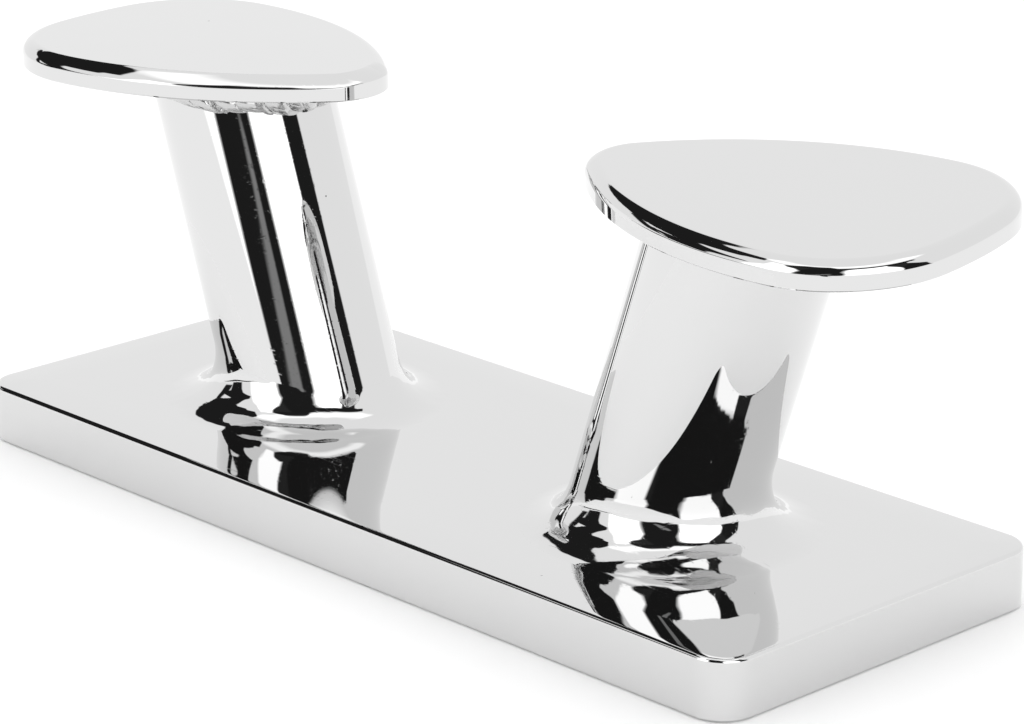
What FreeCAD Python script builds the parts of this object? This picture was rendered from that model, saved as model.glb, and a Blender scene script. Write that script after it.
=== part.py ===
import FreeCAD, Part
import math
import os

# Double bollard boat cleat, welded up from polished stainless steel.
# Millimetres. The origin is the centre of the plate's underside, +X along the plate, +Z up.

# Base plate
plate_length = 150.0
plate_width = 60.0
plate_thickness = 8.7
plate_corner_radius = 5.0
plate_top_rounding = 1.0
plate_underside_chamfer = 0.4

# Blind tapped holes in the underside, for bolts that come up through the deck
bolt_spacing_x = 110.0
bolt_spacing_y = 36.0
bolt_hole_radius = 3.4
bolt_hole_depth = 6.5

# Round bar posts, which lean away from each other
post_radius = 12.7
post_foot_offset = 34.4
post_lean = 19.2
post_height = 46.0

# Caps, cut to a rounded triangle that points at the other post
cap_thickness = 3.7
cap_inner_reach = 26.1
cap_outer_reach = 33.3
cap_width = 43.9
cap_inner_corner_radius = 7.7
cap_outer_corner_radius = 17.0
cap_side_radius = 55.4
cap_end_radius = 62.9
cap_top_rounding = 1.9
cap_underside_chamfer = 0.4

# The caps are welded on by hand: outer end a little low, each turned anticlockwise, its far
# edge high and set off towards the far side, the right one by more
cap_droop = 0.8
left_cap_turn = 4.8
right_cap_turn = 7.5
left_cap_roll = 0.1
right_cap_roll = 3.6
left_cap_shift = 0.5
right_cap_shift = 1.5

# The weld at each foot is ground to a smooth hollow fillet
foot_weld_radius = 7.0

# The weld under each cap is left as laid: scales that widen and then step down to the next
bead_radius = 2.5
bead_step = 0.25
bead_overlap = 0.5
bead_centre_drop = 1.8
bead_pitch = 2.8

X_AXIS = FreeCAD.Vector(1, 0, 0)
Y_AXIS = FreeCAD.Vector(0, 1, 0)
Z_AXIS = FreeCAD.Vector(0, 0, 1)
SIDES = {"left": -1, "right": 1}

# Half the size of the blocks that trim a post to its plate and its cap
trim_reach = plate_length


def post_foot(sign):
    """Where a post's axis meets the top of the plate."""
    return FreeCAD.Vector(sign * post_foot_offset, 0, plate_thickness)


def post_direction(sign):
    """The way that a post leans, as a unit vector."""
    lean = math.radians(post_lean)
    return FreeCAD.Vector(sign * math.sin(lean), 0, math.cos(lean))


def cap_placement(sign):
    """The frame of a cap: its underside is z = 0 and it points outward along x."""
    if sign > 0:
        turned, rolled, shift = right_cap_turn, right_cap_roll, right_cap_shift
    else:
        turned, rolled, shift = left_cap_turn + 180, left_cap_roll, left_cap_shift
    outward = post_height * math.tan(math.radians(post_lean))
    centre = post_foot(sign) + FreeCAD.Vector(sign * outward, shift, post_height)
    turn = FreeCAD.Rotation(Z_AXIS, turned)
    roll = FreeCAD.Rotation(X_AXIS, rolled)
    droop = FreeCAD.Rotation(Y_AXIS, sign * cap_droop)
    return FreeCAD.Placement(centre, droop.multiply(roll).multiply(turn))


def trim_block():
    """A large block that stands on z = 0."""
    corner = FreeCAD.Vector(-trim_reach, -trim_reach, 0)
    return Part.makeBox(2 * trim_reach, 2 * trim_reach, trim_reach, corner)


def bar(sign):
    """The round bar of a post before its ends are cut."""
    run_out = 2 * post_radius
    direction = post_direction(sign)
    start = post_foot(sign) - direction * run_out
    length = post_height / math.cos(math.radians(post_lean)) + 2 * run_out
    return Part.makeCylinder(post_radius, length, start, direction)


def edges_at_height(shape, height):
    """The edges of a shape that lie flat at one height."""
    def flat(edge):
        box = edge.BoundBox
        return abs(box.ZMin - height) < 1e-6 and abs(box.ZMax - height) < 1e-6
    return [edge for edge in shape.Edges if flat(edge)]


def base_plate():
    """Flat bar with round corners, a softened top edge and four blind holes below."""
    corner = FreeCAD.Vector(-plate_length / 2, -plate_width / 2, 0)
    plate = Part.makeBox(plate_length, plate_width, plate_thickness, corner)
    upright = [edge for edge in plate.Edges if edge.BoundBox.ZLength > plate_thickness / 2]
    plate = plate.makeFillet(plate_corner_radius, upright)
    plate = plate.makeFillet(plate_top_rounding, edges_at_height(plate, plate_thickness))
    plate = plate.makeChamfer(plate_underside_chamfer, edges_at_height(plate, 0))
    for x in (-bolt_spacing_x / 2, bolt_spacing_x / 2):
        for y in (-bolt_spacing_y / 2, bolt_spacing_y / 2):
            mouth = FreeCAD.Vector(x, y, 0)
            plate = plate.cut(Part.makeCylinder(bolt_hole_radius, bolt_hole_depth, mouth))
    return plate


def post(sign):
    """A leaning bar, cut flat on the plate and to the underside of its cap."""
    above_cap = trim_block()
    above_cap.Placement = cap_placement(sign)
    above_plate = trim_block().translated(FreeCAD.Vector(0, 0, plate_thickness))
    return bar(sign).common(above_plate).cut(above_cap)


def bridging_centre(centre_a, radius_a, centre_b, radius_b, radius):
    """The centre of an arc that wraps two circles, on the right of the way from a to b."""
    between = centre_b - centre_a
    gap = between.Length
    reach_a = radius - radius_a
    reach_b = radius - radius_b
    along = (reach_a ** 2 - reach_b ** 2 + gap ** 2) / (2 * gap)
    aside = math.sqrt(reach_a ** 2 - along ** 2)
    unit = between / gap
    across = FreeCAD.Vector(unit.y, -unit.x, 0)
    return centre_a + unit * along + across * aside


def past(centre, through, radius):
    """The point at a radius from one centre, on the line through another."""
    return centre + (through - centre).normalize() * radius


def arc(centre, start, end, radius):
    """The shorter arc from start to end about a centre."""
    middle = past(centre, (start + end) / 2, radius)
    return Part.Arc(start, middle, end).toShape()


def cap_outline():
    """A rounded triangle of arcs, each tangent to the next, symmetric about x."""
    inner = FreeCAD.Vector(cap_inner_corner_radius - cap_inner_reach, 0, 0)
    end = FreeCAD.Vector(cap_outer_reach - cap_end_radius, 0, 0)
    corner_y = cap_width / 2 - cap_outer_corner_radius
    corner_x = end.x + math.sqrt((cap_end_radius - cap_outer_corner_radius) ** 2 - corner_y ** 2)
    corner = FreeCAD.Vector(corner_x, corner_y, 0)
    side = bridging_centre(inner, cap_inner_corner_radius, corner, cap_outer_corner_radius,
                           cap_side_radius)
    end_to_corner = past(end, corner, cap_end_radius)
    corner_to_side = past(side, corner, cap_side_radius)
    side_to_inner = past(side, inner, cap_side_radius)

    def mirrored(point):
        return FreeCAD.Vector(point.x, -point.y, 0)

    return Part.Wire([
        arc(end, mirrored(end_to_corner), end_to_corner, cap_end_radius),
        arc(corner, end_to_corner, corner_to_side, cap_outer_corner_radius),
        arc(side, corner_to_side, side_to_inner, cap_side_radius),
        arc(inner, side_to_inner, mirrored(side_to_inner), cap_inner_corner_radius),
        arc(mirrored(side), mirrored(side_to_inner), mirrored(corner_to_side), cap_side_radius),
        arc(mirrored(corner), mirrored(corner_to_side), mirrored(end_to_corner),
            cap_outer_corner_radius),
    ])


def cap(sign):
    """A flat cap with its top edge rounded by polishing and its lower edge broken."""
    blank = Part.Face(cap_outline()).extrude(Z_AXIS * cap_thickness)
    blank = blank.makeFillet(cap_top_rounding, edges_at_height(blank, cap_thickness))
    blank = blank.makeChamfer(cap_underside_chamfer, edges_at_height(blank, 0))
    blank.Placement = cap_placement(sign)
    return blank


def foot_weld(sign):
    """The hollow fillet between a post's foot and the plate."""
    half = post_radius * 3
    corner = post_foot(sign) - FreeCAD.Vector(half, half, plate_thickness)
    slab = Part.makeBox(2 * half, 2 * half, plate_thickness, corner)
    above_plate = trim_block().translated(FreeCAD.Vector(0, 0, plate_thickness))
    stub = bar(sign).common(above_plate)
    joined = slab.fuse(stub)
    seam = [edge for edge in edges_at_height(joined, plate_thickness) if len(edge.Vertexes) == 1]
    return joined.makeFillet(foot_weld_radius, seam).cut(slab).cut(stub)


def cap_weld(sign):
    """A ring of overlapping weld beads in the corner between a post and its cap."""
    placement = cap_placement(sign)
    below = placement.Rotation.multVec(Z_AXIS) * -1
    foot = post_foot(sign)
    direction = post_direction(sign)
    forward = Y_AXIS.cross(direction)
    count = round(2 * math.pi * post_radius / bead_pitch)
    beads = []
    for index in range(count):
        angle = 2 * math.pi * index / count
        outward = forward * math.cos(angle) + Y_AXIS * math.sin(angle)
        tangent = Y_AXIS * math.cos(angle) - forward * math.sin(angle)
        wall = foot + outward * post_radius
        travel = (placement.Base + below * bead_centre_drop - wall).dot(below) / direction.dot(below)
        centre = wall + direction * travel
        length = bead_pitch + bead_overlap
        start = centre - tangent * (length / 2)
        bead = Part.makeCone(bead_radius - bead_step, bead_radius, length, start, tangent)
        beads.append(bead)
    ring = beads[0].multiFuse(beads[1:])
    above_cap = trim_block()
    above_cap.Placement = placement
    return ring.cut(bar(sign)).cut(above_cap)


def save(name, shape):
    """Writes one piece to its own file."""
    if not shape.isValid() or len(shape.Solids) != 1:
        raise ValueError(name + " is not one valid solid")
    shape.Solids[0].exportStep("parts/" + name + ".step")
    print(name, "volume", round(shape.Volume, 1))


os.makedirs("parts", exist_ok=True)
save("base_plate", base_plate())
for side_name, side_sign in SIDES.items():
    save(side_name + "_post", post(side_sign))
    save(side_name + "_cap", cap(side_sign))
    save(side_name + "_foot_weld", foot_weld(side_sign))
    save(side_name + "_cap_weld", cap_weld(side_sign))
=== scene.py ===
import math

import bmesh
import bpy
import numpy as np
from mathutils import Matrix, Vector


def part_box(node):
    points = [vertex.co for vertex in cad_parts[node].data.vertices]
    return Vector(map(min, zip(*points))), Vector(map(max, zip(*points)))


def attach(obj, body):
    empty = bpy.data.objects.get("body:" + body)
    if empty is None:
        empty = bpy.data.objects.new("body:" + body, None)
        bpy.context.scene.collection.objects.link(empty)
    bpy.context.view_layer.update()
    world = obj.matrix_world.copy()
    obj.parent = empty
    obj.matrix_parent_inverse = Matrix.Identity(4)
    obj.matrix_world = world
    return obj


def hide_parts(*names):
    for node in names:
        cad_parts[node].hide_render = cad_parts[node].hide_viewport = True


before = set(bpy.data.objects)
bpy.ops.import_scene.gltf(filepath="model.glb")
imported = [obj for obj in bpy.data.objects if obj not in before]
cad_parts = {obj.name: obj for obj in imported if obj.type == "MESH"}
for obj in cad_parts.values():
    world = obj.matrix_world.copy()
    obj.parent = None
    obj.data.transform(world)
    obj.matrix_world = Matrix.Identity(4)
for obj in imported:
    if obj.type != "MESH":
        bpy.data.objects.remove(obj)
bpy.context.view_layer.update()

# Sizes are in millimetres, as the maker would give them, and meshes are in metres.
MM = 0.001
TAU = 2 * math.pi

# Base plate, whose length, width and thickness come from the frame
plate_half_length, plate_half_width, plate_top = np.array(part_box("base_plate")[1]) / MM
plate_corner_radius = 5.0
plate_top_rounding = 0.55
plate_underside_chamfer = 0.4
# Polishing lets the top sink a little towards its edges
plate_crown_width = 7.0
plate_crown_drop = 0.2

# M8 tapped holes in the underside, cut by a tap that starts a little below it
bolt_half_spacing = (55.0, 18.0)
bolt_hole_radius = 3.4
bolt_hole_depth = 6.5
thread_pitch = 1.25
thread_depth = 0.6
tap_run_in = 1.0

# Posts, which lean away from each other
post_radius = 12.7
post_foot_offset = 34.4
post_lean = math.radians(19.2)
post_height = 46.0

# Caps, each a rounded triangle of tangent arcs
cap_thickness = 3.7
cap_inner_reach = 26.1
cap_outer_reach = 33.3
cap_width = 43.9
cap_inner_corner_radius = 7.7
cap_outer_corner_radius = 17.0
cap_side_radius = 55.4
cap_end_radius = 62.9
cap_underside_chamfer = 0.2
# Polishing has worn the top edge round, and the left cap's flatter along its near side. Each
# row holds the outline's angle in degrees, then the width, depth and power of the shoulder
cap_shoulder = {
    "left": (
        (50, 2.1, 1.8, 2.0), (75, 2.0, 1.5, 1.4), (92, 1.7, 1.6, 1.25), (106, 1.8, 1.7, 1.15),
        (140, 1.8, 1.7, 1.15), (162, 2.2, 1.4, 1.2), (200, 2.6, 1.3, 1.3), (230, 2.1, 1.8, 2.0),
    ),
    "right": ((0, 2.1, 1.8, 2.0), (180, 2.1, 1.8, 2.0)),
}
# Each is cut a little full along its near side: the angle of the middle, and by how much
cap_fullness = {"left": (115, 0.5), "right": (-85, 0.25)}
# The caps are welded on by hand: outer end low, turned, far edge high and off to the far side
cap_droop = math.radians(0.8)
left_cap = {"turn": math.radians(184.8), "roll": math.radians(0.1), "shift": 0.5}
right_cap = {"turn": math.radians(7.5), "roll": math.radians(3.6), "shift": 1.5}

# The weld at a foot, and the share of the way to the corner that it is ground hollow
foot_weld_radius = 7.0
foot_weld_hollow = 0.1

# The weld under a cap. The right one is smaller, and hides behind its cap
bead_radius = {"left": 1.9, "right": 1.1}
bead_centre_drop = {"left": 1.3, "right": 0.6}
bead_pitch = 2.8
# How full it is laid round a post: the angle in degrees, from the side that faces the plate's
# right end towards the far side, and the share of the full bead
bead_fullness = (
    (-180, 0.85), (-130, 0.6), (-85, 0.7), (-50, 1.0), (-5, 1.12), (40, 0.9), (90, 0.85),
)
# The part of its round that is modelled, in half turns down from straight out of the post,
# and how far it stays below the cap
bead_arc = (-0.65, 0.75)
bead_clearance = 0.02
# Its scales: how unequal their sizes and places are, how far their fronts bow along the bead
# in scales, and the thickness in a trough and what the crest adds
scale_size_spread = 0.11
scale_slip_spread = 0.18
scale_front_bow = 0.55
scale_trough = 0.74
scale_crest = 0.32
scale_roundness = 0.4
weld_seed = 7

SIDES = {"left": -1, "right": 1}

# How finely the surfaces are cut: points round a full turn, steps across a rounding, and
# points round a thread and along it
AROUND = 480
ACROSS = 14
THREAD_STEPS = 64
# A row of points this far inside an edge keeps the flat beside it optically flat
GUARD = 0.06
# Edges that bend by more than this are shaded sharp
SHARP_BEND = math.radians(32)


# Shapes


def rounding(radius, steps):
    """Insets and drops of a quarter circle that turns a flat top into an upright side."""
    angle = np.linspace(0, math.pi / 2, steps + 1)
    return radius * (1 - np.sin(angle)), radius * (1 - np.cos(angle))


def rotation(axis, angle):
    """The 3 by 3 matrix of a turn about the "X", "Y" or "Z" axis."""
    return np.array(Matrix.Rotation(angle, 3, axis))


def post_foot(sign):
    """Where a post's axis meets the plate's top."""
    return np.array([sign * post_foot_offset, 0, plate_top])


def post_direction(sign):
    """The way that a post leans."""
    return np.array([sign * math.sin(post_lean), 0, math.cos(post_lean)])


def post_frame(sign):
    """Angles round a post, and its outward normals there."""
    angle = np.linspace(0, TAU, AROUND, endpoint=False)[:, None]
    across = np.array([0.0, 1.0, 0.0])
    forward = np.cross(across, post_direction(sign))
    return angle[:, 0], forward * np.cos(angle) + across * np.sin(angle)


def cap_frame(sign):
    """A cap's place and its turn: local z = 0 is its underside and x points outward."""
    pose = right_cap if sign > 0 else left_cap
    outward = sign * post_height * math.tan(post_lean)
    place = post_foot(sign) + [outward, pose["shift"], post_height]
    tilt = rotation("Y", sign * cap_droop) @ rotation("X", pose["roll"])
    return place, tilt @ rotation("Z", pose["turn"])


def skin(name, node, rings, ends="filled"):
    """Joins rings of points, each closed on itself, into one closed surface.

    rings has the shape (rings, points, 3). Ends are filled flat, or the last ring is
    joined to the first, which makes a tube that closes on itself.
    """
    count, around, _ = rings.shape
    column = np.arange(around)
    following = (column + 1) % around
    lower = np.arange(count if ends == "joined" else count - 1)[:, None]
    upper = (lower + 1) % count
    quads = np.stack([
        lower * around + column, lower * around + following,
        upper * around + following, upper * around + column,
    ], axis=-1).reshape(-1, 4)
    faces = quads.tolist()
    if ends == "filled":
        faces += [column[::-1].tolist(), (column + (count - 1) * around).tolist()]
    mesh = bpy.data.meshes.new(name)
    mesh.from_pydata((rings.reshape(-1, 3) * MM).tolist(), [], faces)
    piece = bpy.data.objects.new(name, mesh)
    bpy.context.scene.collection.objects.link(piece)
    face_outward(mesh)
    if node:
        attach(piece, "root")
        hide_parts(node)
    return piece


def face_outward(mesh):
    """Turns every face outward and shades the surface smooth, apart from its sharp edges."""
    shell = bmesh.new()
    shell.from_mesh(mesh)
    bmesh.ops.recalc_face_normals(shell, faces=shell.faces)
    shell.to_mesh(mesh)
    shell.free()
    mesh.shade_smooth()
    mesh.set_sharp_from_angle(angle=SHARP_BEND)


def plate_ring(inset, height):
    """The plate's outline, moved in by an inset: four straights joined by quarter circles."""
    quarter = np.linspace(0, math.pi / 2, ACROSS * 2)
    radius = max(plate_corner_radius - inset, 0)
    beyond = max(inset, plate_corner_radius)
    half_x = plate_half_length - beyond
    half_y = plate_half_width - beyond
    points = []
    for index, (x, y) in enumerate(((1, 1), (-1, 1), (-1, -1), (1, -1))):
        angle = quarter + index * math.pi / 2
        start, end = angle[0], angle[-1]
        centre = np.array([x * half_x, y * half_y])
        corner = centre + radius * np.stack([np.cos(angle), np.sin(angle)], -1)
        before = corner[0] + GUARD * np.array([math.sin(start), -math.cos(start)])
        after = corner[-1] + GUARD * np.array([-math.sin(end), math.cos(end)])
        points += [before[None], corner, after[None]]
    flat = np.concatenate(points)
    return np.column_stack([flat, np.full(len(flat), height)])


def base_plate():
    """Flat bar: a profile of inset and height carried round the plate's outline.

    Over the crown's width the top sinks by the crown's drop times the square of the way out.
    """
    inset, drop = rounding(plate_top_rounding, ACROSS)
    chamfer = plate_underside_chamfer
    sink = np.linspace(0, 1, ACROSS)
    crown_inset = plate_crown_width + (inset[0] - plate_crown_width) * sink
    edge_top = plate_top - plate_crown_drop
    profile = [(plate_crown_width + GUARD, plate_top)]
    profile += list(zip(crown_inset, plate_top - plate_crown_drop * sink**2))
    profile += list(zip(inset[2:], edge_top - drop[2:]))
    profile += [(0, edge_top - drop[-1] - GUARD), (0, chamfer + GUARD), (0, chamfer)]
    profile += [(chamfer, 0), (chamfer + GUARD, 0)]
    rings = np.stack([plate_ring(i, z) for i, z in profile])
    plate = skin("polished_plate", "base_plate", rings)
    cut_threads(plate)
    return plate


def cut_threads(plate):
    """Cuts four tapped holes: the tap's radius swings between root and crest once a pitch."""
    angle = np.linspace(0, TAU, THREAD_STEPS, endpoint=False)
    height = np.linspace(-tap_run_in, bolt_hole_depth, THREAD_STEPS)[:, None]
    turn = (height / thread_pitch - angle / TAU) % 1
    radius = bolt_hole_radius + thread_depth * (1 - np.abs(2 * turn - 1))
    height = np.broadcast_to(height, radius.shape)
    tap = np.stack([radius * np.cos(angle), radius * np.sin(angle), height], -1)
    for x in (-1, 1):
        for y in (-1, 1):
            centre = np.array([x * bolt_half_spacing[0], y * bolt_half_spacing[1], 0])
            cutter = skin("tap", None, tap + centre)
            cut = plate.modifiers.new("tapped_hole", "BOOLEAN")
            cut.object = cutter
            cut.solver = "EXACT"
            bake_modifiers(plate)
            bpy.data.objects.remove(cutter)


def bake_modifiers(piece):
    """Makes a piece's modifiers part of its mesh."""
    bpy.context.view_layer.update()
    seen = piece.evaluated_get(bpy.context.evaluated_depsgraph_get())
    mesh = bpy.data.meshes.new_from_object(seen)
    piece.modifiers.clear()
    piece.data = mesh
    mesh.shade_smooth()
    mesh.set_sharp_from_angle(angle=SHARP_BEND)


def post(sign, side):
    """A round bar: straight lines along its lean, from the plate to the cap's underside.

    The rows close to each end keep the shading straight up to the cut.
    """
    _, normal = post_frame(sign)
    direction = post_direction(sign)
    place, turn = cap_frame(sign)
    up = turn[:, 2]
    wall = post_foot(sign) + normal * post_radius
    low = wall + direction * ((plate_top - wall[:, 2:]) / direction[2])
    high = wall + direction * (((place - wall) @ up) / (direction @ up))[:, None]
    share = np.array([0, 0.004, 0.25, 0.5, 0.75, 0.996, 1])[:, None, None]
    return skin(f"{side}_bar", f"{side}_post", low + (high - low) * share)


def foot_weld(sign, side):
    """A hollow fillet, ground deeper than the arc of a ball rolled between plate and post.

    Each arc point moves part of the way to the corner, by a share times sine squared, which
    bends it more in the middle and leaves its ends tangent.
    """
    _, normal = post_frame(sign)
    direction = post_direction(sign)
    reach = post_foot(sign) + normal * (post_radius + foot_weld_radius)
    rise = (plate_top + foot_weld_radius - reach[:, 2:]) / direction[2]
    ball = reach + direction * rise
    wall = post_foot(sign) + normal * post_radius
    root = wall + direction * ((plate_top - wall[:, 2:]) / direction[2])
    down = np.array([0, 0, -1.0])
    opening = np.arccos(-normal @ down)[:, None]
    rows = []
    for share in np.linspace(0, 1, ACROSS * 2):
        toward = down * np.sin((1 - share) * opening) - normal * np.sin(share * opening)
        arc = ball + foot_weld_radius * (toward / np.sin(opening))
        rows.append(arc + foot_weld_hollow * math.sin(share * math.pi) ** 2 * (root - arc))
    rows.append(root)
    return skin(f"{side}_ground_fillet", f"{side}_foot_weld", np.stack(rows), ends="joined")


def wrapping_centre(centre_a, radius_a, centre_b, radius_b, radius):
    """The centre of an arc that wraps two circles and is tangent to both."""
    between = centre_b - centre_a
    gap = np.hypot(*between)
    reach_a, reach_b = radius - radius_a, radius - radius_b
    along = (reach_a ** 2 - reach_b ** 2 + gap ** 2) / (2 * gap)
    aside = math.sqrt(reach_a ** 2 - along ** 2)
    unit = between / gap
    return centre_a + unit * along + np.array([unit[1], -unit[0]]) * aside


def heading(start, end):
    """The angle of the way from one point to another."""
    return math.atan2(end[1] - start[1], end[0] - start[0])


def cap_arcs():
    """Half of the cap's outline: each arc's centre, radius and the normal angle where it ends."""
    inner = np.array([cap_inner_corner_radius - cap_inner_reach, 0])
    end = np.array([cap_outer_reach - cap_end_radius, 0])
    corner_y = cap_width / 2 - cap_outer_corner_radius
    corner_x = end[0] + math.sqrt((cap_end_radius - cap_outer_corner_radius) ** 2 - corner_y ** 2)
    corner = np.array([corner_x, corner_y])
    side = wrapping_centre(
        inner, cap_inner_corner_radius, corner, cap_outer_corner_radius, cap_side_radius)
    return [
        (end, cap_end_radius, heading(end, corner)),
        (corner, cap_outer_corner_radius, heading(side, corner)),
        (side, cap_side_radius, heading(side, inner)),
        (inner, cap_inner_corner_radius, math.pi),
    ]


def cap_ring(inset, height):
    """The cap's outline by the angle of its normal, moved in by an inset: centre plus radius."""
    angle = np.linspace(-math.pi, math.pi, AROUND, endpoint=False)
    size = np.abs(angle)
    arcs = cap_arcs()
    which = np.searchsorted([arc[2] for arc in arcs], size).clip(0, len(arcs) - 1)
    centre = np.array([arc[0] for arc in arcs])[which]
    radius = np.array([arc[1] for arc in arcs])[which] - inset
    x = centre[:, 0] + radius * np.cos(size)
    y = (centre[:, 1] + radius * np.sin(size)) * np.sign(angle + 1e-12)
    return np.column_stack([x, y, np.broadcast_to(height, AROUND)])


def cap(sign, side):
    """A profile of inset and height carried round the rounded triangle.

    The worn shoulder is a quarter of a superellipse: width times one minus cosine to the
    power of two over the power, and the same with sine for the depth. Near power 1 it is
    a bevel, and at power 2 an ellipse. The outline stands out by the fullness times cosine
    squared of one and a half times the angle from its middle.
    """
    chamfer = cap_underside_chamfer
    around = np.linspace(-180, 180, AROUND, endpoint=False)
    knots = np.array(cap_shoulder[side])
    width, depth, power = (
        np.interp(around, knots[:, 0], column, period=360) for column in knots[:, 1:].T)
    middle, most = cap_fullness[side]
    apart = np.radians((around - middle + 180) % 360 - 180)
    full = -most * np.clip(np.cos(1.5 * apart), 0, 1) ** 2
    rows = [cap_ring(full + chamfer + GUARD, 0), cap_ring(full + chamfer, 0)]
    rows += [cap_ring(full, chamfer), cap_ring(full, chamfer + GUARD)]
    rows += [cap_ring(full, cap_thickness - depth - GUARD)]
    for step in np.linspace(0, math.pi / 2, ACROSS * 2 + 1):
        inset = full + width * (1 - abs(math.cos(step)) ** (2 / power))
        rows.append(cap_ring(inset, cap_thickness - depth * (1 - math.sin(step) ** (2 / power))))
    rows += [cap_ring(full + width + GUARD, cap_thickness)]
    place, turn = cap_frame(sign)
    return skin(f"{side}_polished_cap", f"{side}_cap", np.stack(rows) @ turn.T + place)


def cap_weld(sign, side, seed):
    """A ring of laid weld: a round bead that swells once a scale, with curved scale fronts.

    Along a scale the bead's radius is a trough plus a crest times four times the way along
    times the way left, to the power of the roundness. It is then multiplied by that scale's
    own size and by how full the bead is there. Nothing rises above the cap's underside.
    """
    angle, normal = post_frame(sign)
    direction = post_direction(sign)
    place, turn = cap_frame(sign)
    up = turn[:, 2]
    wall = post_foot(sign) + normal * post_radius
    degrees, share = np.array(bead_fullness).T
    full = np.interp(np.degrees(angle), degrees, share, period=360)
    travel = ((place - wall) @ up - bead_centre_drop[side] * full) / (direction @ up)
    centre = wall + direction * travel[:, None]
    chance = np.random.default_rng(seed)
    scales = round(TAU * post_radius / bead_pitch)
    size = 1 + scale_size_spread * chance.standard_normal(scales)
    slip = scale_slip_spread * chance.standard_normal(scales)
    rows = []
    for tilt in np.linspace(*bead_arc, ACROSS * 3):
        around = tilt * math.pi
        phase = angle / TAU * scales + scale_front_bow * math.cos(around)
        number = np.floor(phase).astype(int) % scales
        part = (phase + slip[number]) % 1
        hump = (4 * part * (1 - part)) ** scale_roundness
        swell = full * size[number] * (scale_trough + scale_crest * hump)
        out = math.cos(around) * bead_radius[side]
        rise = math.sin(around) * bead_radius[side]
        rows.append(centre + normal * (out * swell)[:, None] - direction * (rise * swell)[:, None])
    rows = np.stack(rows)
    above = np.clip((rows - place) @ up + bead_clearance, 0, None)
    rows = rows - above[..., None] * up
    return skin(f"{side}_laid_weld", f"{side}_cap_weld", rows, ends="joined")


# Finishes


def linear(hex_colour):
    """A linear RGBA colour from an sRGB hex value."""
    values = [int(hex_colour[i:i + 2], 16) / 255 for i in (0, 2, 4)]
    return [v / 12.92 if v <= 0.04045 else ((v + 0.055) / 1.055) ** 2.4 for v in values] + [1.0]


def add_node(tree, kind, settings=None, links=None):
    """Adds a node, sets its properties or sockets by name, and links its inputs."""
    node = tree.nodes.new(kind)
    for key, value in (settings or {}).items():
        if hasattr(node, key) and key not in node.inputs:
            setattr(node, key, value)
        else:
            node.inputs[key].default_value = value
    for key, source in (links or {}).items():
        tree.links.new(source, node.inputs[key])
    return node


def steel(name, colour, smooth, hazy, wave, wave_depth, line_depth):
    """Neutral grey steel with the marks that grinding and polishing leave.

    Haze in clouds of about 17 mm, a waviness of the given length and depth in metres,
    scratches about 0.4 mm wide and 25 mm long that run along the plate and show in patches,
    and pits of about 0.3 mm, a few centimetres apart. The roughness wanders from smooth to
    hazy, and is higher on a scratch.
    """
    cloud_scale, pit_scale = 60.0, 130.0
    line_scale = (40.0, 2200.0, 2200.0)
    scratch_haze, pit_grey, pit_depth = 0.08, 0.22, 0.00005
    material = bpy.data.materials.new(name)
    material.use_nodes = True
    tree = material.node_tree
    tree.nodes.clear()
    place = add_node(tree, "ShaderNodeTexCoord").outputs["Object"]
    here = {"Vector": place}
    cloud = add_node(tree, "ShaderNodeTexNoise", {"Scale": cloud_scale, "Detail": 4.0}, here)
    drawn = add_node(tree, "ShaderNodeMapping", {"Scale": line_scale}, here)
    along = {"Vector": drawn.outputs["Vector"]}
    lines = add_node(tree, "ShaderNodeTexNoise", {"Scale": 1.0, "Detail": 2.0}, along)
    cells = add_node(tree, "ShaderNodeTexVoronoi", {"Scale": pit_scale}, here)
    swell = add_node(tree, "ShaderNodeTexNoise", {"Scale": 1 / wave, "Detail": 1.0}, here)

    def ramp(source, low, high, start, end):
        """Maps the span from low to high on to start to end, and holds it beyond."""
        span = {"From Min": low, "From Max": high, "To Min": start, "To Max": end}
        return add_node(tree, "ShaderNodeMapRange", span, {"Value": source}).outputs["Result"]

    def combine(operation, first, second):
        links = {0: first, 1: second}
        return add_node(tree, "ShaderNodeMath", {"operation": operation}, links).outputs["Value"]

    def bump(height, depth, before=None):
        links = {"Height": height, "Normal": before} if before else {"Height": height}
        settings = {"Strength": 1.0, "Distance": depth}
        return add_node(tree, "ShaderNodeBump", settings, links).outputs["Normal"]

    line_shape = ramp(lines.outputs["Fac"], 0.60, 0.72, 0, 1)
    line_patches = ramp(cloud.outputs["Fac"], 0.48, 0.62, 0, 1)
    scratches = combine("MULTIPLY", line_shape, line_patches)
    pit_shape = ramp(cells.outputs["Distance"], 0.018, 0.03, 1, 0)
    pit_choice = ramp(cells.outputs["Color"], 0.68, 0.70, 0, 1)
    pits = combine("MULTIPLY", pit_shape, pit_choice)
    clouds = ramp(cloud.outputs["Fac"], 0.4, 0.75, smooth, hazy)
    haze = combine("ADD", clouds, ramp(scratches, 0, 1, 0, scratch_haze))
    grey = ramp(pits, 0, 1, linear(colour)[0], pit_grey)
    normal = bump(swell.outputs["Fac"], wave_depth)
    normal = bump(scratches, line_depth, normal)
    normal = bump(ramp(pits, 0, 1, 1, 0), pit_depth, normal)
    shader = add_node(tree, "ShaderNodeBsdfPrincipled", {"Metallic": 1.0},
                      {"Base Color": grey, "Roughness": haze, "Normal": normal})
    add_node(tree, "ShaderNodeOutputMaterial", {}, {"Surface": shader.outputs["BSDF"]})
    return material


def finish_with(piece, material):
    """Gives a piece one material."""
    piece.data.materials.clear()
    piece.data.materials.append(material)


# The object

# A mirror finish: sharp, nearly straight reflections, with faint polishing lines in them
mirror_steel = steel(
    "mirror_polished_stainless", "D9D9D9", smooth=0.015, hazy=0.03,
    wave=0.016, wave_depth=0.00004, line_depth=0.000002)
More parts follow.
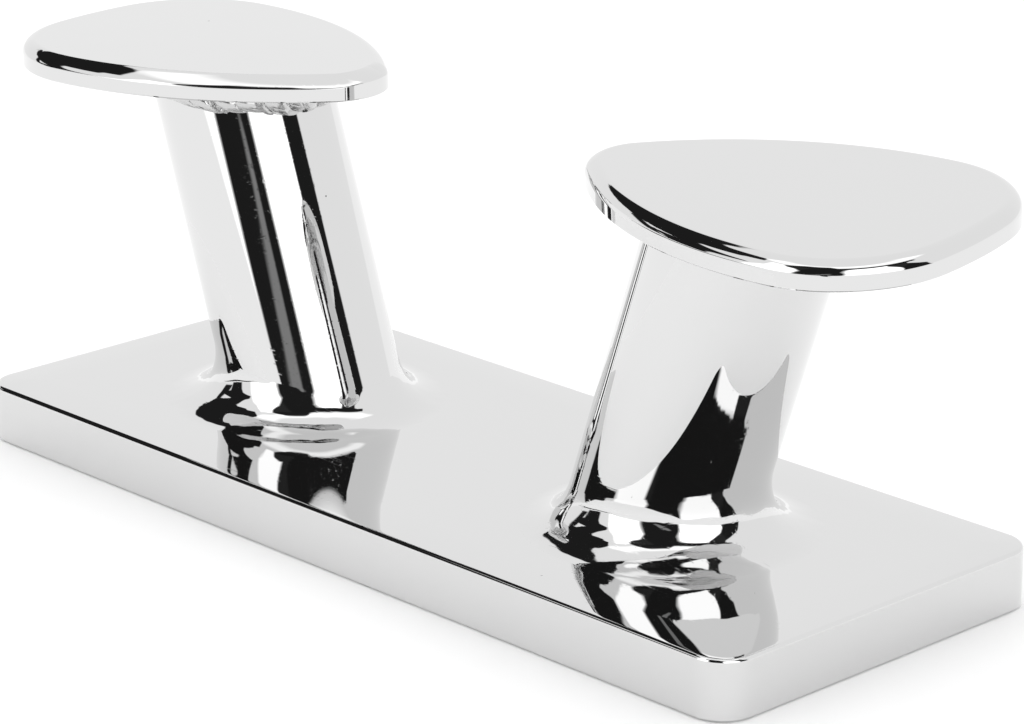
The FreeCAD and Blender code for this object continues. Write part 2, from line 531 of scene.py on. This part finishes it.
# The fillets are ground by hand before polishing, so their reflections have ragged edges
ground_steel = steel(
    "ground_and_polished_weld", "D9D9D9", smooth=0.02, hazy=0.06,
    wave=0.004, wave_depth=0.00009, line_depth=0.000005)
# Weld as it cooled: a duller skin, slightly rippled, which blurs what it reflects
laid_steel = steel(
    "weld_as_laid", "C9C9C9", smooth=0.10, hazy=0.25,
    wave=0.0011, wave_depth=0.00005, line_depth=0.000005)

finish_with(base_plate(), mirror_steel)
for side_name, side_sign in SIDES.items():
    finish_with(post(side_sign, side_name), mirror_steel)
    finish_with(foot_weld(side_sign, side_name), ground_steel)
    finish_with(cap(side_sign, side_name), mirror_steel)
    finish_with(cap_weld(side_sign, side_name, weld_seed + side_sign), laid_steel)


# Floor, light and camera

floor_colour = "F4F4F4"
floor_roughness = 0.9
floor_half_width_metres = 3.0
light_strength = 1.32


def stage_piece(name, points, faces):
    """An object of the staging from points in metres and faces."""
    mesh = bpy.data.meshes.new(name)
    mesh.from_pydata(points.tolist(), [], faces)
    card = bpy.data.objects.new(name, mesh)
    bpy.context.scene.collection.objects.link(card)
    return card


def glow_in_mirrors(card, strength=None):
    """Makes a card glow by a strength or by its "glow" values, and only in reflections."""
    material = bpy.data.materials.new(card.name)
    material.use_nodes = True
    tree = material.node_tree
    tree.nodes.clear()
    if strength is None:
        level = add_node(tree, "ShaderNodeAttribute", {"attribute_name": "glow"})
        light = add_node(tree, "ShaderNodeEmission", {}, {"Strength": level.outputs["Fac"]})
    else:
        light = add_node(tree, "ShaderNodeEmission", {"Strength": strength})
    add_node(tree, "ShaderNodeOutputMaterial", {}, {"Surface": light.outputs["Emission"]})
    material.cycles.emission_sampling = "NONE"
    card.data.materials.append(material)
    for kind in ("camera", "diffuse", "transmission", "volume_scatter", "shadow"):
        setattr(card, f"visible_{kind}", False)


def pale_floor():
    """A wide pale floor under the plate."""
    reach = floor_half_width_metres
    corners = reach * np.array([(-1, -1, 0), (1, -1, 0), (1, 1, 0), (-1, 1, 0)])
    floor = stage_piece("floor", corners, [(0, 1, 2, 3)])
    material = bpy.data.materials.new("pale_floor")
    material.use_nodes = True
    shader = material.node_tree.nodes["Principled BSDF"]
    shader.inputs["Base Color"].default_value = linear(floor_colour)
    shader.inputs["Roughness"].default_value = floor_roughness
    floor.data.materials.append(material)


def studio_light():
    """Even white light from all round, in plain display colours."""
    bpy.context.scene.view_settings.view_transform = "Standard"
    world = bpy.data.worlds.new("studio")
    bpy.context.scene.world = world
    world.use_nodes = True
    background = world.node_tree.nodes["Background"]
    background.inputs["Color"].default_value = (1, 1, 1, 1)
    background.inputs["Strength"].default_value = light_strength


# What polished steel mirrors. Azimuth runs from the camera's own, growing to its right, and
# each row is an elevation with the azimuths of a shape's left and right side there, in degrees.
LEFT_GAP = (
    (0, -103, -88), (10, -106, -88), (14, -120, -86), (19, -112, -76), (23, -104, -78),
    (29, -166, -92), (35, -172, -102), (38, -175, -104), (41, -174, -98), (44, -170, -93),
    (47, -166, -95), (50, -160, -90), (54, -134, -96), (57, -120, -102), (58, -112, -108),
)
TAIL_GAP = ((3, -112, -104), (15, -120, -111), (27, -131, -124), (40, -138, -126))
MIDDLE_GAP = (
    (-2, -40, 0), (0, -42, 0), (3, -42, 1), (13, -40, 1), (25, -38, -2),
    (38, -45, 0), (45, -58, 4), (52, -64, -4), (58, -58, -8), (64, -48, -16),
)
RIGHT_GAP = (
    (-2, 47, 72), (0, 47, 71), (10, 47, 69), (19, 46, 68), (30, 43, 62),
    (42, 39, 58), (47, 40, 60), (49, 46, 66), (51, 54, 64),
)
TOP_GAP = (
    (44.5, -30, 4), (46, -30, 14), (47.5, -30, 40), (48.5, -30, 72), (54, -30, 76), (55, -20, 70),
)
LEFT_WINDOW = ((-1, -76, -42), (0, -76, -42), (20, -74, -40), (37, -74, -37), (52, -80, -33))
MIDDLE_WINDOW = ((-1, 0, 46), (0, 0, 47), (19, 1, 46), (38, 2, 56), (44, 7, 58), (46.5, 9, 59))
CAMERA_GLINT = ((2, -29, -24), (4, -25, -17), (7, -21, -13), (9, -17, -11), (13, -12, -9))

# The dome: its radius, the height of what looks at the floor from the posts, and how far its
# floor ring and the dark strips lie above the floor, in millimetres
dome_radius = 2500
eye_height = 30
ring_height = 0.3
strip_height = 0.6
# How brightly its parts glow, and over what angle their edges fade, in degrees
dome_glow = 1.04
ring_glow = 1.16
window_glow, window_fade = 0.9, 3.0
glint_glow, glint_fade = 0.25, 2.0
gap_share, gap_fade, middle_gap_fade = 0.985, 1.5, 4.0
strip_glow = 0.015
# A bright band overhead: where it starts and is full, where it starts to end and has ended,
# and how far to each side of the camera it reaches
band_glow = 0.6
band_start, band_rise = 56, 4
band_end, band_fall = 72, 6
band_side, band_side_fade = 115, 10

# Dark strips on the floor. Each row is a y with the x of the strip's two sides there, in
# millimetres
FLOOR_GAPS = (
    ((-900, -600, -270), (-170, -600, -270)),
    ((-700, 420, 520), (-430, 290, 345), (-290, 225, 262), (-230, 208, 238)),
)


def inside(shape, azimuth, elevation, soft=1.0):
    """1 inside a shape and 0 outside: the product of ramps across its four sides."""
    rows = np.array(shape, float)
    left = np.interp(elevation, rows[:, 0], rows[:, 1])
    right = np.interp(elevation, rows[:, 0], rows[:, 2])
    past_left = np.clip((azimuth - left) / soft + 0.5, 0, 1)
    past_right = np.clip((right - azimuth) / soft + 0.5, 0, 1)
    low, high = rows[0, 0], rows[-1, 0]
    above_low = np.clip(elevation - low + 0.5, 0, 1)
    below_high = np.clip(high - elevation + 0.5, 0, 1)
    return past_left * past_right * above_low * below_high


def surroundings():
    """A dome of light with dark gaps, which only mirror reflections see.

    A grid of azimuth by elevation. Above the horizon it is a sphere, and below it
    lies on the floor, as far out as a line of that slope from the posts reaches. The glow
    is the plain level plus windows and band, times what the gaps leave, plus the glint.
    """
    azimuth = np.arange(-180, 180, 0.5)
    # The ring on the floor, the dome in fine steps, and its top in coarse ones
    bands = (np.arange(-12, -0.6, 0.3), np.arange(0.7, 62, 0.5), np.arange(62, 90, 2))
    elevation = np.concatenate(bands)
    az, el = np.meshgrid(azimuth, elevation)
    turn = np.radians(az) + camera_azimuth
    slope = np.radians(el)
    on_floor = np.minimum(eye_height / np.tan(np.maximum(-slope, 0.01)), dome_radius)
    reach = np.where(el > 0, dome_radius * np.cos(slope), on_floor)
    height = np.where(el > 0, dome_radius * np.sin(slope), ring_height)
    points = np.stack([reach * np.sin(turn), -reach * np.cos(turn), height], -1)
    count, around = az.shape
    column = np.arange(around)
    row = np.arange(count - 1)[:, None]
    quads = np.stack([
        row * around + column, row * around + (column + 1) % around,
        (row + 1) * around + (column + 1) % around, (row + 1) * around + column,
    ], -1).reshape(-1, 4).tolist()
    quads.append((column + (count - 1) * around).tolist())
    dome = stage_piece("surroundings", points.reshape(-1, 3) * MM, quads)
    bright = np.where(el > 0, dome_glow, ring_glow)
    for window in (LEFT_WINDOW, MIDDLE_WINDOW):
        bright += window_glow * inside(window, az, el, window_fade)
    band = np.clip((el - band_start) / band_rise, 0, 1) * np.clip((band_end - el) / band_fall, 0, 1)
    bright += band_glow * band * np.clip((band_side - abs(az)) / band_side_fade, 0, 1)
    gaps = inside(MIDDLE_GAP, az, el, middle_gap_fade)
    for gap in (LEFT_GAP, TAIL_GAP, RIGHT_GAP, TOP_GAP):
        gaps = np.maximum(gaps, inside(gap, az, el, gap_fade))
    bright *= 1 - gap_share * gaps
    bright += glint_glow * inside(CAMERA_GLINT, az, el, glint_fade)
    level = dome.data.attributes.new("glow", "FLOAT", "POINT")
    level.data.foreach_set("value", bright.reshape(-1).astype(np.float32))
    glow_in_mirrors(dome)


def floor_strip(name, rows, strength):
    """A strip on the floor that glows evenly: two edges, point by point, joined straight across."""
    rows = np.array(rows, float)
    height = np.full(len(rows), strip_height)
    points = np.concatenate([
        np.column_stack([rows[:, 1], rows[:, 0], height]),
        np.column_stack([rows[:, 2], rows[:, 0], height]),
    ])
    low = np.arange(len(rows) - 1)
    quads = np.stack([low, low + len(rows), low + len(rows) + 1, low + 1], -1)
    glow_in_mirrors(stage_piece(name, points * MM, quads.tolist()), strength)


# The camera's place, from the photograph's perspective
camera_focal_pixels = 4046.0
camera_azimuth = math.radians(46.40)
camera_elevation = math.radians(18.52)
camera_roll = math.radians(-0.136)
camera_distance = 565.1
camera_aside = 4.30
camera_above = 21.29
camera_sensor_width = 36.0
image_width_pixels = 1024


def photograph_camera():
    """Looks at the cleat from the right front, a little above."""
    az, el = camera_azimuth, camera_elevation
    back = np.array([math.sin(az) * math.cos(el), -math.cos(az) * math.cos(el), math.sin(el)])
    right = np.array([math.cos(az), math.sin(az), 0])
    up = np.cross(back, right)
    c, s = math.cos(camera_roll), math.sin(camera_roll)
    right, up = right * c + up * s, up * c - right * s
    place = back * camera_distance + right * camera_aside + up * camera_above
    data = bpy.data.cameras.new("camera")
    data.sensor_width = camera_sensor_width
    data.lens = camera_focal_pixels / image_width_pixels * data.sensor_width
    data.clip_start = 0.01
    camera = bpy.data.objects.new("camera", data)
    bpy.context.scene.collection.objects.link(camera)
    matrix = np.eye(4)
    matrix[:3, :3] = np.column_stack([right, up, back])
    matrix[:3, 3] = place * MM
    camera.matrix_world = Matrix(matrix.tolist())
    bpy.context.scene.camera = camera


pale_floor()
studio_light()
surroundings()
for number, gap_rows in enumerate(FLOOR_GAPS):
    floor_strip(f"floor_gap_{number}", gap_rows, strip_glow)
photograph_camera()
